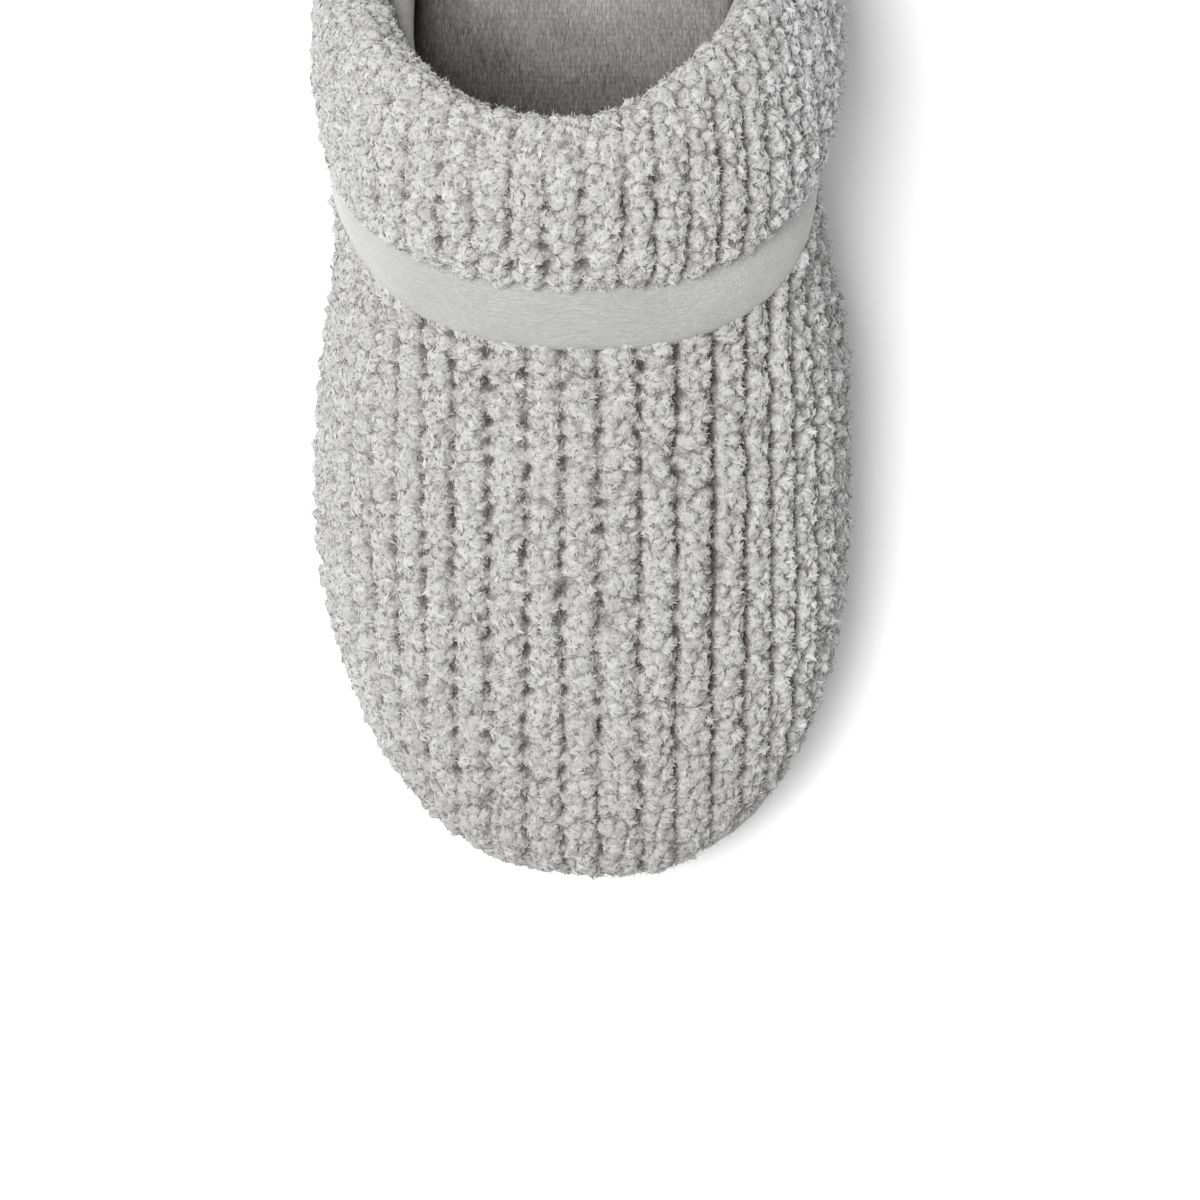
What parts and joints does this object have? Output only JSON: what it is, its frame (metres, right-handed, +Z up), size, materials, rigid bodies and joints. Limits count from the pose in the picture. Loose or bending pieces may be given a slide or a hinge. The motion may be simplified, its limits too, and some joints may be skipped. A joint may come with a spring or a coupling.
{
  "type": "scuff slipper",
  "caption": "Right-foot scuff slipper: chenille rib-knit vamp, velour band, turned-down knit cuff round the open throat, plush padded insole, open heel and flat rubber sole.",
  "frame": {"origin": "on the floor under the middle of the slipper's box", "axes": "+Z up, the toe towards -Y and the heel towards +Y, +X towards the big-toe side"},
  "size_m": [0.1035, 0.258, 0.0809],
  "materials": {
    "sole_rubber": "matt moulded rubber",
    "plush": "short plush pile",
    "chenille_knit": "marled chenille rib knit",
    "velour": "smooth velour nap"
  },
  "bodies": {
    "root": {"outsole": "sole_rubber", "insole": "plush", "upper": "chenille_knit", "band": "velour", "cuff": "chenille_knit"}
  },
  "joints": []
}
